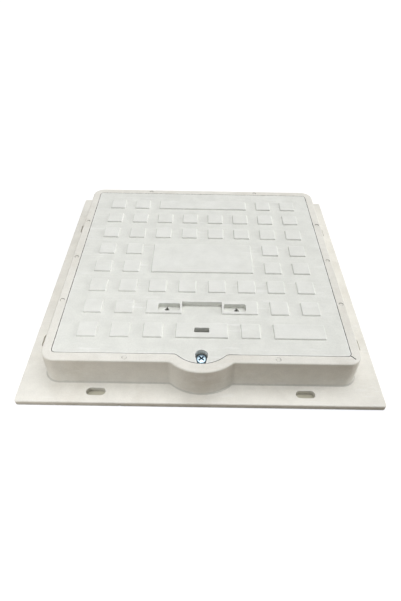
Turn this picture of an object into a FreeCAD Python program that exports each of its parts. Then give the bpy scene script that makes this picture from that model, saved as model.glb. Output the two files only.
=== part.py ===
import FreeCAD, Part
import math
import os
import Sketcher
from enum import IntEnum

# Square composite access cover: a moulded frame, the lid that rests in it, the screw that locks the
# lid at its nose, and the threaded insert in the frame. Millimetres, +Z up, origin in the middle of
# the flange's underside, and the nose at the front, towards -Y.

# Driving dimensions
DIMENSIONS = [
    ("flange_width", 37.5, "base flange, outwards of the rim"),
    ("flange_thick", 9, "thickness of the base flange"),
    ("flange_corner", 4, "corner radius of the base flange"),
    ("flange_chamfer", 1, "chamfer on the flange's top edge"),
    ("frame_height", 60, "underside of the flange to the top of the rim"),
    ("rim_width", 14.5, "wall between the lid's pocket and the outer face"),
    ("frame_draft", 1.5, "mould draft of the upstand, degrees"),
    ("rim_round", 2.5, "round on the rim's outer top edge"),
    ("root_round", 3, "round where the upstand meets the flange"),
    ("mark_size", 8, "ejector mark on the rim, across"),
    ("mark_depth", 0.9, "ejector mark below the rim"),
    ("mark_pitch", 113, "distance between ejector marks along a side"),
    ("nick_length", 9, "nick in a corner of the rim, outwards of the lid's pocket"),
    ("nick_width", 1.5, "nick from side to side"),
    ("nick_depth", 3, "nick below the rim"),
    ("chip_width", 3.5, "chip in the lower front edge of the flange, along X"),
    ("chip_length", 2.5, "chip inwards of the flange's edge"),
    ("chip_height", 4, "chip above the flange's underside"),
    ("chip_place", 120.5, "chip to the left of the middle"),
    ("seat_width", 23, "ledge that carries the lid, pocket wall to clear opening"),
    ("clear_corner", 12, "corner radius of the clear opening"),
    ("seat_thick", 10, "thickness of the ledge that carries the lid"),
    ("gusset_thick", 8, "thickness of a gusset under the ledge"),
    ("gusset_pitch", 130, "distance between gussets along a side"),
    ("gusset_count", 3, "gussets on each side"),
    ("slot_length", 29, "fixing slot, end to end"),
    ("slot_width", 13, "fixing slot, across"),
    ("slot_spacing", 315, "distance between the two fixing slots of a side"),
    ("slot_edge", 19.5, "flange edge to the middle line of the fixing slots"),
    ("lid_size", 444, "side of the lid"),
    ("lid_corner", 6, "corner radius of the lid"),
    ("lid_depth", 30, "ground of the tread to the lid's seat"),
    ("lid_gap", 1, "clearance between the lid and its pocket"),
    ("lid_draft", 1, "mould draft of the lid's border, degrees"),
    ("lid_border", 14, "border wall round the lid's underside"),
    ("plate_thick", 12, "plate of the lid above its ribs"),
    ("rib_thick", 8, "ribs under the lid"),
    ("rib_cells", 7, "cells between the ribs, along a side"),
    ("nose_radius", 50, "radius of the lid's nose"),
    ("nose_reach", 17, "how far the lid's nose stands out of its front edge"),
    ("nose_wall", 16, "frame wall round the nose"),
    ("nose_blend", 10, "hollow radius beside the lid's nose"),
    ("upstand_blend", 10, "hollow radius beside the frame's nose"),
    ("tread_pitch", 50.5, "pitch of the tread blocks"),
    ("tread_count", 8, "tread blocks along a side"),
    ("block_size", 30.5, "side of a tread block at its foot"),
    ("tread_relief", 2.5, "height of the tread"),
    ("tread_draft", 22, "slope of the tread's sides, degrees"),
    ("scoop_width", 65, "finger scoop, along X"),
    ("scoop_depth", 9.5, "finger scoop at its back wall"),
    ("recess_back", 4, "edge of the handle pad to the scoop's back wall"),
    ("grip_width", 36, "side grip, along X"),
    ("grip_length", 16.5, "side grip, along Y"),
    ("grip_depth", 8.5, "side grip below the top of its pad"),
    ("grip_web", 3, "wall between the scoop and a side grip"),
    ("grip_set", 4.2, "scoop's back wall to a side grip's back wall"),
    ("grip_corner", 3.5, "corner radius of a side grip"),
    ("hook_width", 12.5, "base of the three-cornered hook hole"),
    ("hook_length", 10.5, "hook hole, apex to base"),
    ("hook_set", 0.5, "side grip's back wall to the apex of its hook hole"),
    ("hook_shift", 3.5, "hook hole outwards of the middle of its grip"),
    ("key_width", 23.5, "key slot, along X"),
    ("key_length", 9.5, "key slot, along Y"),
    ("key_corner", 2, "corner radius of the key slot"),
    ("notch_width", 19.6, "screw notch in the lid's nose, round the screw's head"),
    ("notch_mouth", 12.4, "screw notch at the tip of the nose"),
    ("notch_depth", 14, "lid's ground to the face under the screw's head"),
    ("screw_inset", 1.6, "lid's front edge to the screw's axis, towards the nose"),
    ("screw_size", 8, "thread diameter of the lock screw"),
    ("screw_length", 35, "lock screw under its head"),
    ("screw_tip", 1.2, "chamfer on the screw's tip"),
    ("screw_gap", 0.5, "clearance round the screw in the lid and in the boss"),
    ("head_size", 16, "diameter of the pan head"),
    ("head_height", 6, "height of the pan head"),
    ("head_edge", 3.2, "straight side of the pan head"),
    ("head_flat", 8.8, "diameter of the flat on the pan head"),
    ("head_bulge", 0.5, "how far the pan head's crown stands out of a straight slope"),
    ("cross_span", 8.4, "cross recess, tip to tip"),
    ("cross_wing", 1.8, "width of a wing of the cross recess"),
    ("cross_depth", 3.4, "depth of the cross recess"),
    ("thread_gap", 0.1, "clearance between the screw and the insert's bore"),
    ("insert_size", 12, "outer diameter of the threaded insert"),
    ("insert_floor", 2, "closed end of the threaded insert"),
    ("tip_gap", 1, "clearance between the screw's tip and the insert's closed end"),
    ("insert_gap", 0.05, "clearance between the insert and its boss"),
    ("boss_wall", 7, "wall of the boss round the insert"),
]

# Pads that take the place of several tread blocks: first and last column from the left, first and
# last row from the back
PADS = {
    "long_pad": (3, 6, 1, 1),
    "panel_pad": (3, 6, 4, 5),
    "handle_pad": (3, 6, 7, 7),
    "key_pad": (4, 5, 8, 8),
    "plain_pad": (7, 8, 8, 8),
}


class At(IntEnum):
    """Points of a curve in a sketch."""
    START = 1
    END = 2
    CENTRE = 3


ORIGIN = (-1, At.START)
UP = FreeCAD.Vector(0, 0, 1)

doc = FreeCAD.newDocument("access_cover")

sheet = doc.addObject("Spreadsheet::Sheet", "dim")
for row, (alias, value, note) in enumerate(DIMENSIONS, start=1):
    sheet.set("A%d" % row, alias)
    sheet.set("B%d" % row, str(value))
    sheet.set("C%d" % row, note)
    sheet.setAlias("B%d" % row, alias)
doc.recompute()


def number(formula):
    """Present value of a formula, for the first drawing of a sketch."""
    return float(sheet.evalExpression(formula))


def bind(thing, path, formula):
    thing.setExpression(path, formula)


def new_body(label):
    body = doc.addObject("PartDesign::Body", label)
    body.Label = label
    return body


def origin_part(body, role):
    return [part for part in body.Origin.OriginFeatures if part.Role == role][0]


def new_sketch(body, name, height="0", plane="XY_Plane"):
    """Sketch on one of the body's planes, moved along the plane's normal by a formula."""
    sketch = body.newObject("Sketcher::SketchObject", name)
    sketch.AttachmentSupport = [(origin_part(body, plane), "")]
    sketch.MapMode = "FlatFace"
    bind(sketch, "AttachmentOffset.Base.z", height)
    return sketch


def fix(sketch, kind, formula, *targets):
    """Dimension of a sketch, bound to the sheet."""
    index = sketch.addConstraint(Sketcher.Constraint(kind, *targets, number(formula)))
    bind(sketch, "Constraints[%d]" % index, formula)


def draw_loop(sketch, curves):
    """Closed loop of lines and arcs, tangent where they meet. An arc drawn backwards is marked -1."""
    first = sketch.GeometryCount
    for curve, _ in curves:
        sketch.addGeometry(curve, False)
    for step, (_, way) in enumerate(curves):
        after = (step + 1) % len(curves)
        leave = At.END if way > 0 else At.START
        arrive = At.START if curves[after][1] > 0 else At.END
        sketch.addConstraint(Sketcher.Constraint("Tangent", first + step, leave, first + after, arrive))
    return first


def line(x0, y0, x1, y1):
    return Part.LineSegment(FreeCAD.Vector(x0, y0, 0), FreeCAD.Vector(x1, y1, 0))


def arc(x, y, radius, start, end):
    """Arc about (x, y), anticlockwise from one angle to the other, in degrees."""
    circle = Part.Circle(FreeCAD.Vector(x, y, 0), UP, radius)
    return Part.ArcOfCircle(circle, math.radians(start), math.radians(end))


def rounded_rectangle(sketch, width, length, corner, x="0", y="0"):
    """Rectangle with round corners, all from formulas, about the point (x, y)."""
    half_x = number(width) / 2
    half_y = number(length) / 2
    round_ = number(corner)
    mid_x = number(x)
    mid_y = number(y)
    west = mid_x - half_x
    east = mid_x + half_x
    south = mid_y - half_y
    north = mid_y + half_y
    first = draw_loop(sketch, [
        (line(west + round_, south, east - round_, south), 1),
        (arc(east - round_, south + round_, round_, 270, 360), 1),
        (line(east, south + round_, east, north - round_), 1),
        (arc(east - round_, north - round_, round_, 0, 90), 1),
        (line(east - round_, north, west + round_, north), 1),
        (arc(west + round_, north - round_, round_, 90, 180), 1),
        (line(west, north - round_, west, south + round_), 1),
        (arc(west + round_, south + round_, round_, 180, 270), 1),
    ])
    for side in (0, 4):
        sketch.addConstraint(Sketcher.Constraint("Horizontal", first + side))
    for side in (2, 6):
        sketch.addConstraint(Sketcher.Constraint("Vertical", first + side))
    for turn in (1, 3, 5, 7):
        fix(sketch, "Radius", corner, first + turn)
    fix(sketch, "DistanceX", "%s - (%s) / 2" % (x, width), *ORIGIN, first + 6, At.START)
    fix(sketch, "DistanceX", "%s + (%s) / 2" % (x, width), *ORIGIN, first + 2, At.START)
    fix(sketch, "DistanceY", "%s - (%s) / 2" % (y, length), *ORIGIN, first, At.START)
    fix(sketch, "DistanceY", "%s + (%s) / 2" % (y, length), *ORIGIN, first + 4, At.START)


def nosed_square(sketch, side, corner, radius, centre, blend):
    """Square with round corners and a round nose in the middle of its front, blended in."""
    half = number(side) / 2
    round_ = number(corner)
    nose = number(radius)
    middle = number(centre)
    hollow = number(blend)
    rise = middle + half + hollow
    foot = math.sqrt((nose + hollow) ** 2 - rise ** 2)
    lean = math.degrees(math.atan2(rise, foot))
    first = draw_loop(sketch, [
        (line(round_ - half, -half, -foot, -half), 1),
        (arc(-foot, -half - hollow, hollow, lean, 90), -1),
        (arc(0, middle, nose, 180 + lean, 360 - lean), 1),
        (arc(foot, -half - hollow, hollow, 90, 180 - lean), -1),
        (line(foot, -half, half - round_, -half), 1),
        (arc(half - round_, round_ - half, round_, 270, 360), 1),
        (line(half, round_ - half, half, half - round_), 1),
        (arc(half - round_, half - round_, round_, 0, 90), 1),
        (line(half - round_, half, round_ - half, half), 1),
        (arc(round_ - half, half - round_, round_, 90, 180), 1),
        (line(-half, half - round_, -half, round_ - half), 1),
        (arc(round_ - half, round_ - half, round_, 180, 270), 1),
    ])
    for edge in (0, 4, 8):
        sketch.addConstraint(Sketcher.Constraint("Horizontal", first + edge))
    for edge in (6, 10):
        sketch.addConstraint(Sketcher.Constraint("Vertical", first + edge))
    for turn in (5, 7, 9, 11):
        fix(sketch, "Radius", corner, first + turn)
    for turn in (1, 3):
        fix(sketch, "Radius", blend, first + turn)
    fix(sketch, "Radius", radius, first + 2)
    fix(sketch, "DistanceX", "0", *ORIGIN, first + 2, At.CENTRE)
    fix(sketch, "DistanceY", centre, *ORIGIN, first + 2, At.CENTRE)
    fix(sketch, "DistanceY", "-(%s) / 2" % side, *ORIGIN, first, At.START)
    fix(sketch, "DistanceY", "-(%s) / 2" % side, *ORIGIN, first + 4, At.START)
    fix(sketch, "DistanceX", "(%s) / 2" % side, *ORIGIN, first + 6, At.START)
    fix(sketch, "DistanceY", "(%s) / 2" % side, *ORIGIN, first + 8, At.START)
    fix(sketch, "DistanceX", "-(%s) / 2" % side, *ORIGIN, first + 10, At.START)


def round_slot(sketch, length, width, x, y):
    """Slot with round ends, along X, about the point (x, y)."""
    radius = number(width) / 2
    reach = number(length) / 2 - radius
    mid_x = number(x)
    mid_y = number(y)
    first = draw_loop(sketch, [
        (line(mid_x - reach, mid_y - radius, mid_x + reach, mid_y - radius), 1),
        (arc(mid_x + reach, mid_y, radius, -90, 90), 1),
        (line(mid_x + reach, mid_y + radius, mid_x - reach, mid_y + radius), 1),
        (arc(mid_x - reach, mid_y, radius, 90, 270), 1),
    ])
    for side in (0, 2):
        sketch.addConstraint(Sketcher.Constraint("Horizontal", first + side))
    fix(sketch, "Diameter", width, first + 1)
    fix(sketch, "DistanceX", "%s + (%s - %s) / 2" % (x, length, width), *ORIGIN, first + 1, At.CENTRE)
    fix(sketch, "DistanceX", "%s - (%s - %s) / 2" % (x, length, width), *ORIGIN, first + 3, At.CENTRE)
    fix(sketch, "DistanceY", y, *ORIGIN, first + 1, At.CENTRE)


def round_hole(sketch, diameter, x="0", y="0"):
    """Circle about the point (x, y)."""
    centre = FreeCAD.Vector(number(x), number(y), 0)
    index = sketch.addGeometry(Part.Circle(centre, UP, number(diameter) / 2), False)
    fix(sketch, "Diameter", diameter, index)
    fix(sketch, "DistanceX", x, *ORIGIN, index, At.CENTRE)
    fix(sketch, "DistanceY", y, *ORIGIN, index, At.CENTRE)


def polygon(sketch, corners):
    """Closed outline through points given as pairs of formulas."""
    places = [(number(x), number(y)) for x, y in corners]
    count = len(places)
    first = sketch.GeometryCount
    for step in range(count):
        sketch.addGeometry(line(*places[step], *places[(step + 1) % count]), False)
    for step in range(count):
        after = first + (step + 1) % count
        sketch.addConstraint(Sketcher.Constraint("Coincident", first + step, At.END, after, At.START))
    for step, (x, y) in enumerate(corners):
        fix(sketch, "DistanceX", x, *ORIGIN, first + step, At.START)
        fix(sketch, "DistanceY", y, *ORIGIN, first + step, At.START)


def rectangle(sketch, width, length, x, y):
    """Rectangle with sharp corners about the point (x, y)."""
    west = "%s - (%s) / 2" % (x, width)
    east = "%s + (%s) / 2" % (x, width)
    south = "%s - (%s) / 2" % (y, length)
    north = "%s + (%s) / 2" % (y, length)
    polygon(sketch, [(west, south), (east, south), (east, north), (west, north)])


def extrude(body, kind, name, sketch, length, down=False, draft=None, both_ways=False, merge=True):
    """Pad or pocket of a sketch. A pocket has to take material away and a pad has to add it. Faces in
    one plane are merged at once, or later with those of the features that follow."""
    before = body.Shape.Volume if body.Tip else 0.0
    feature = body.newObject("PartDesign::" + kind, name)
    feature.Profile = sketch
    bind(feature, "Length", length)
    feature.Reversed = down if kind == "Pad" else not down
    feature.Midplane = both_ways
    feature.Refine = merge
    if draft:
        bind(feature, "TaperAngle", draft)
    doc.recompute()
    change = body.Shape.Volume - before
    if (change > 0) != (kind == "Pad"):
        raise RuntimeError("%s changes the volume by %.1f" % (name, change))
    return feature


def dress(body, kind, name, radius, wanted):
    """Fillet or chamfer on the edges that a test picks."""
    base = body.Tip
    names = ["Edge%d" % (index + 1) for index, edge in enumerate(base.Shape.Edges) if wanted(edge)]
    if not names:
        raise RuntimeError("%s finds no edge" % name)
    feature = body.newObject("PartDesign::" + kind, name)
    feature.Base = (base, names)
    bind(feature, "Radius" if kind == "Fillet" else "Size", radius)
    doc.recompute()
    return feature


def turn_pattern(body, name, original, count):
    """Copies of a feature turned about the vertical axis."""
    pattern = body.newObject("PartDesign::PolarPattern", name)
    pattern.Originals = [original]
    pattern.Axis = (origin_part(body, "Z_Axis"), [""])
    pattern.Angle = 360
    pattern.Occurrences = count
    body.Tip = pattern
    doc.recompute()
    return pattern


def grid_pattern(body, name, original, pitch, count, merge=True):
    """Copies of a feature in a square grid, towards +X and +Y."""
    pattern = body.newObject("PartDesign::LinearPattern", name)
    pattern.Originals = [original]
    pattern.Direction = (origin_part(body, "X_Axis"), [""])
    pattern.Direction2 = (origin_part(body, "Y_Axis"), [""])
    for suffix in ("", "2"):
        bind(pattern, "Length" + suffix, "(%s - 1) * (%s)" % (count, pitch))
        bind(pattern, "Occurrences" + suffix, count)
    pattern.Refine = merge
    body.Tip = pattern
    doc.recompute()
    return pattern


# Places that several pieces share
SEAT = "(dim.frame_height - dim.lid_depth)"
POCKET_SIDE = "(dim.lid_size + 2 * dim.lid_gap)"
CLEAR_SIDE = "(dim.lid_size + 2 * dim.lid_gap - 2 * dim.seat_width)"
UPSTAND_SIDE = "(dim.lid_size + 2 * dim.lid_gap + 2 * dim.rim_width)"
FLANGE_SIDE = "(dim.lid_size + 2 * dim.lid_gap + 2 * dim.rim_width + 2 * dim.flange_width)"
NOSE_CENTRE = "(dim.nose_radius - dim.nose_reach - dim.lid_size / 2)"
POCKET_NOSE = "(dim.nose_radius + dim.lid_gap)"
UPSTAND_NOSE = "(dim.nose_radius + dim.lid_gap + dim.nose_wall)"
POCKET_CORNER = "(dim.lid_corner + dim.lid_gap)"
POCKET_BLEND = "(dim.nose_blend - dim.lid_gap)"
UPSTAND_CORNER = "(dim.lid_corner + dim.lid_gap + dim.rim_width)"
SCREW_Y = "(-dim.lid_size / 2 - dim.screw_inset)"
SCREW_HOLE = "(dim.screw_size + 2 * dim.screw_gap)"
HEAD_SEAT = "(dim.frame_height - dim.notch_depth)"
INSERT_FLOOR = "(dim.frame_height - dim.notch_depth - dim.screw_length - dim.tip_gap)"
INSERT_FOOT = "(%s - dim.insert_floor)" % INSERT_FLOOR
TREAD_TOP = "(dim.frame_height + dim.tread_relief)"
FIRST_BLOCK = "(-(dim.tread_count - 1) / 2 * dim.tread_pitch)"
CELL_SIDE = "((dim.lid_size - 2 * dim.lid_border + dim.rib_thick) / dim.rib_cells - dim.rib_thick)"


def column_x(column):
    return "((%g - (dim.tread_count + 1) / 2) * dim.tread_pitch)" % column


def row_y(row):
    return "(((dim.tread_count + 1) / 2 - %g) * dim.tread_pitch)" % row


# Frame: flange, upstand with its nose, lid pocket and ledge
frame = new_body("frame")

flange_sketch = new_sketch(frame, "FlangeOutline")
rounded_rectangle(flange_sketch, FLANGE_SIDE, FLANGE_SIDE, "dim.flange_corner")
extrude(frame, "Pad", "Flange", flange_sketch, "dim.flange_thick")

upstand_sketch = new_sketch(frame, "UpstandOutline", "dim.frame_height")
nosed_square(upstand_sketch, UPSTAND_SIDE, UPSTAND_CORNER, UPSTAND_NOSE, NOSE_CENTRE, "dim.upstand_blend")
extrude(frame, "Pad", "Upstand", upstand_sketch, "dim.frame_height", down=True, draft="dim.frame_draft")

rim_level = number("dim.frame_height")
dress(frame, "Fillet", "RimRound", "dim.rim_round",
      lambda edge: abs(edge.BoundBox.ZMin - rim_level) < 1e-6)

root_level = number("dim.flange_thick")
flange_limit = number(FLANGE_SIDE + " / 2 - dim.flange_corner")


def lies_on_flange(edge):
    return max(abs(edge.BoundBox.ZMin - root_level), abs(edge.BoundBox.ZMax - root_level)) < 1e-6


def lies_outside(edge):
    return max(abs(edge.CenterOfMass.x), abs(edge.CenterOfMass.y)) > flange_limit


dress(frame, "Fillet", "RootRound", "dim.root_round",
      lambda edge: lies_on_flange(edge) and not lies_outside(edge))
dress(frame, "Chamfer", "FlangeChamfer", "dim.flange_chamfer",
      lambda edge: lies_on_flange(edge) and lies_outside(edge))

pocket_sketch = new_sketch(frame, "LidPocketOutline", "dim.frame_height")
nosed_square(pocket_sketch, POCKET_SIDE, POCKET_CORNER, POCKET_NOSE, NOSE_CENTRE, POCKET_BLEND)
extrude(frame, "Pocket", "LidPocket", pocket_sketch, "dim.lid_depth", down=True)

under_sketch = new_sketch(frame, "LedgeHollowOutline")
nosed_square(under_sketch, POCKET_SIDE, POCKET_CORNER, POCKET_NOSE, NOSE_CENTRE, POCKET_BLEND)
extrude(frame, "Pocket", "LedgeHollow", under_sketch, SEAT + " - dim.seat_thick")

# Ejector marks on the rim: three along each of the two sides, two at the back and two at the front
rim_line = "(%s + dim.rim_width) / 2" % POCKET_SIDE
mark_sketch = new_sketch(frame, "EjectorMarkOutlines", "dim.frame_height")
for side in ("-", ""):
    round_hole(mark_sketch, "dim.mark_size", side + rim_line, "0")
    for way in ("-", ""):
        round_hole(mark_sketch, "dim.mark_size", side + rim_line, way + "dim.mark_pitch")
        round_hole(mark_sketch, "dim.mark_size", way + "dim.mark_pitch", side + rim_line)
extrude(frame, "Pocket", "EjectorMarks", mark_sketch, "dim.mark_depth", down=True)

# Damage: a nick across the rim's front right corner and a chip in the flange's front edge
nick_root = "(%s / 2 - %s)" % (POCKET_SIDE, POCKET_CORNER)
nick_half = "dim.nick_width / 2 * cos(45)"
nick_tip = "(%s + (%s + dim.nick_length) * cos(45))" % (nick_root, POCKET_CORNER)
nick_sketch = new_sketch(frame, "NickOutline", "dim.frame_height")
polygon(nick_sketch, [
    (nick_root + " - " + nick_half, "-%s - %s" % (nick_root, nick_half)),
    (nick_tip + " - " + nick_half, "-%s - %s" % (nick_tip, nick_half)),
    (nick_tip + " + " + nick_half, "%s - %s" % (nick_half, nick_tip)),
    (nick_root + " + " + nick_half, "%s - %s" % (nick_half, nick_root)),
])
extrude(frame, "Pocket", "Nick", nick_sketch, "dim.nick_depth", down=True)

chip_sketch = new_sketch(frame, "ChipOutline")
polygon(chip_sketch, [
    ("-dim.chip_place - dim.chip_width / 2", "-%s / 2" % FLANGE_SIDE),
    ("-dim.chip_place + dim.chip_width / 2", "-%s / 2" % FLANGE_SIDE),
    ("-dim.chip_place", "dim.chip_length - %s / 2" % FLANGE_SIDE),
])
extrude(frame, "Pocket", "Chip", chip_sketch, "dim.chip_height")

opening_sketch = new_sketch(frame, "ClearOpeningOutline")
rounded_rectangle(opening_sketch, CLEAR_SIDE, CLEAR_SIDE, "dim.clear_corner")
extrude(frame, "Pocket", "ClearOpening", opening_sketch, "dim.frame_height")

# Gussets under the ledge, three-cornered, the same number on each side
first_gusset = "(dim.gusset_count - 1) / 2 * dim.gusset_pitch"
gusset_sketch = new_sketch(frame, "GussetProfile", first_gusset, "XZ_Plane")
polygon(gusset_sketch, [
    (POCKET_SIDE + " / 2 + dim.rim_width / 2", "0"),
    (POCKET_SIDE + " / 2 + dim.rim_width / 2", SEAT + " - dim.seat_thick / 2"),
    (CLEAR_SIDE + " / 2", SEAT + " - dim.seat_thick / 2"),
    (CLEAR_SIDE + " / 2", SEAT + " - dim.seat_thick"),
    (POCKET_SIDE + " / 2", "0"),
])
gusset = extrude(frame, "Pad", "Gusset", gusset_sketch, "dim.gusset_thick", both_ways=True)

gussets = frame.newObject("PartDesign::MultiTransform", "Gussets")
gussets.Originals = [gusset]
gusset_row = frame.newObject("PartDesign::LinearPattern", "GussetRow")
gusset_row.Direction = (origin_part(frame, "Y_Axis"), [""])
bind(gusset_row, "Length", "(dim.gusset_count - 1) * dim.gusset_pitch")
bind(gusset_row, "Occurrences", "dim.gusset_count")
gusset_turn = frame.newObject("PartDesign::PolarPattern", "GussetTurn")
gusset_turn.Axis = (origin_part(frame, "Z_Axis"), [""])
gusset_turn.Angle = 360
gusset_turn.Occurrences = 4
gussets.Transformations = [gusset_row, gusset_turn]
frame.Tip = gussets
doc.recompute()

# Fixing slots: two in each side of the flange
slot_sketch = new_sketch(frame, "FixingSlotOutline")
for side in ("-", ""):
    round_slot(slot_sketch, "dim.slot_length", "dim.slot_width", side + "dim.slot_spacing / 2",
               "(dim.slot_edge - %s / 2)" % FLANGE_SIDE)
slots = extrude(frame, "Pocket", "FixingSlots", slot_sketch, "dim.flange_thick")
turn_pattern(frame, "FixingSlotsTurned", slots, 4)

# Boss for the lock screw, with the blind bore of the threaded insert
boss_sketch = new_sketch(frame, "BossOutline")
round_hole(boss_sketch, "dim.insert_size + 2 * dim.boss_wall", y=SCREW_Y)
extrude(frame, "Pad", "Boss", boss_sketch, SEAT + " - dim.seat_thick / 2")

insert_sketch = new_sketch(frame, "InsertBoreOutline", SEAT)
round_hole(insert_sketch, "dim.insert_size + 2 * dim.insert_gap", y=SCREW_Y)
extrude(frame, "Pocket", "InsertBore", insert_sketch, "%s - %s" % (SEAT, INSERT_FOOT), down=True)

# Lid: plate with its nose
lid = new_body("lid")

lid_sketch = new_sketch(lid, "LidOutline", "dim.frame_height")
nosed_square(lid_sketch, "dim.lid_size", "dim.lid_corner", "dim.nose_radius", NOSE_CENTRE, "dim.nose_blend")
extrude(lid, "Pad", "LidPlate", lid_sketch, "dim.lid_depth", down=True, draft="-dim.lid_draft")

# Screw notch: round about the screw's head, narrower where it opens through the tip of the nose, with
# a floor for the head
notch_sketch = new_sketch(lid, "NotchOutline", "dim.frame_height")
round_hole(notch_sketch, "dim.notch_width", y=SCREW_Y)
extrude(lid, "Pocket", "Notch", notch_sketch, "dim.notch_depth", down=True)

mouth_sketch = new_sketch(lid, "NotchMouthOutline", "dim.frame_height")
nose_tip = "(-dim.lid_size / 2 - dim.nose_reach)"
polygon(mouth_sketch, [
    ("-dim.notch_width / 2", SCREW_Y),
    ("-dim.notch_mouth / 2", nose_tip),
    ("dim.notch_mouth / 2", nose_tip),
    ("dim.notch_width / 2", SCREW_Y),
])
extrude(lid, "Pocket", "NotchMouth", mouth_sketch, "dim.notch_depth", down=True)

passage_sketch = new_sketch(lid, "ScrewPassageOutline", HEAD_SEAT)
round_hole(passage_sketch, SCREW_HOLE, y=SCREW_Y)
extrude(lid, "Pocket", "ScrewPassage", passage_sketch, HEAD_SEAT, down=True)

# Cells between the ribs of the underside
cell_sketch = new_sketch(lid, "CellOutline", SEAT)
first_cell = "(dim.lid_border - dim.lid_size / 2 + %s / 2)" % CELL_SIDE
rectangle(cell_sketch, CELL_SIDE, CELL_SIDE, first_cell, first_cell)
cell = extrude(lid, "Pocket", "Cell", cell_sketch, "dim.lid_depth - dim.plate_thick")
grid_pattern(lid, "Cells", cell, CELL_SIDE + " + dim.rib_thick", "dim.rib_cells")

# Tread: a square grid of blocks with sloping sides, and flat pads over some of them
block_sketch = new_sketch(lid, "BlockOutline", "dim.frame_height")
rectangle(block_sketch, "dim.block_size", "dim.block_size", FIRST_BLOCK, FIRST_BLOCK)
block = extrude(lid, "Pad", "Block", block_sketch, "dim.tread_relief", draft="-dim.tread_draft", merge=False)
grid_pattern(lid, "Tread", block, "dim.tread_pitch", "dim.tread_count", merge=False)

pads_sketch = new_sketch(lid, "PadOutlines", "dim.frame_height")
for left, right, back, front in PADS.values():
    rectangle(
        pads_sketch,
        "(%d * dim.tread_pitch + dim.block_size)" % (right - left),
        "(%d * dim.tread_pitch + dim.block_size)" % (front - back),
        column_x((left + right) / 2),
        row_y((back + front) / 2),
    )
extrude(lid, "Pad", "Pads", pads_sketch, "dim.tread_relief", draft="-dim.tread_draft", merge=False)

# Handle pad: finger scoop with a ramp that runs out at the pad's front, and a side grip with a
# three-cornered hook hole at each end
handle_y = row_y(PADS["handle_pad"][2])
scoop_back = "(%s + dim.block_size / 2 - dim.recess_back)" % handle_y
scoop_front = "(%s - dim.block_size / 2)" % handle_y
scoop_sketch = new_sketch(lid, "ScoopProfile", plane="YZ_Plane")
polygon(scoop_sketch, [
    (scoop_back, TREAD_TOP + " - dim.scoop_depth"),
    (scoop_back, TREAD_TOP + " + dim.tread_relief"),
    (scoop_front, TREAD_TOP + " + dim.tread_relief"),
    (scoop_front, "dim.frame_height"),
])
extrude(lid, "Pocket", "Scoop", scoop_sketch, "dim.scoop_width", both_ways=True, merge=False)

grip_x = "(dim.scoop_width / 2 + dim.grip_web + dim.grip_width / 2)"
grip_back = "(%s - dim.grip_set)" % scoop_back
grip_sketch = new_sketch(lid, "GripOutline", TREAD_TOP)
for side in ("-", ""):
    rounded_rectangle(grip_sketch, "dim.grip_width", "dim.grip_length", "dim.grip_corner",
                      side + grip_x, "(%s - dim.grip_length / 2)" % grip_back)
extrude(lid, "Pocket", "Grips", grip_sketch, "dim.grip_depth", down=True, merge=False)

hook_sketch = new_sketch(lid, "HookHoleOutline", TREAD_TOP)
hook_apex = "(%s - dim.hook_set)" % grip_back
hook_base = "(%s - dim.hook_length)" % hook_apex
for side in ("-", ""):
    hook_x = "(%s(%s + dim.hook_shift))" % (side, grip_x)
    polygon(hook_sketch, [
        (hook_x, hook_apex),
        (hook_x + " - dim.hook_width / 2", hook_base),
        (hook_x + " + dim.hook_width / 2", hook_base),
    ])
extrude(lid, "Pocket", "HookHoles", hook_sketch, "dim.tread_relief + dim.lid_depth", down=True, merge=False)

# Key slot, through the plate into a cell of the underside
key_sketch = new_sketch(lid, "KeySlotOutline", TREAD_TOP)
rounded_rectangle(key_sketch, "dim.key_width", "dim.key_length", "dim.key_corner",
                  "0", row_y(PADS["key_pad"][2]))
extrude(lid, "Pocket", "KeySlot", key_sketch, "dim.tread_relief + dim.plate_thick", down=True)

# Lock screw: pan head with a cross recess, drawn from the face under its head
lock_screw = new_body("lock_screw")
lock_screw.Placement = FreeCAD.Placement(FreeCAD.Vector(), FreeCAD.Rotation(UP, 45))
bind(lock_screw, "Placement.Base.y", SCREW_Y)
bind(lock_screw, "Placement.Base.z", HEAD_SEAT)

screw_sketch = new_sketch(lock_screw, "ScrewProfile", plane="XZ_Plane")
polygon(screw_sketch, [
    ("0", "dim.head_height"),
    ("0", "-dim.screw_length"),
    ("dim.screw_size / 2 - dim.screw_tip", "-dim.screw_length"),
    ("dim.screw_size / 2", "dim.screw_tip - dim.screw_length"),
    ("dim.screw_size / 2", "0"),
    ("dim.head_size / 2", "0"),
    ("dim.head_size / 2", "dim.head_edge"),
    ("(dim.head_size + dim.head_flat) / 4 + dim.head_bulge",
     "(dim.head_edge + dim.head_height) / 2 + dim.head_bulge"),
    ("dim.head_flat / 2", "dim.head_height"),
])
turned = lock_screw.newObject("PartDesign::Revolution", "ScrewTurned")
turned.Profile = screw_sketch
turned.ReferenceAxis = (origin_part(lock_screw, "Z_Axis"), [""])
turned.Angle = 360
doc.recompute()

cross_sketch = new_sketch(lock_screw, "CrossOutline", "dim.head_height")
wing = "dim.cross_wing / 2"
span = "dim.cross_span / 2"
polygon(cross_sketch, [
    (span, "-" + wing), (span, wing), (wing, wing), (wing, span),
    ("-" + wing, span), ("-" + wing, wing), ("-" + span, wing), ("-" + span, "-" + wing),
    ("-" + wing, "-" + wing), ("-" + wing, "-" + span), (wing, "-" + span), (wing, "-" + wing),
])
extrude(lock_screw, "Pocket", "CrossRecess", cross_sketch, "dim.cross_depth", down=True)

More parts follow.
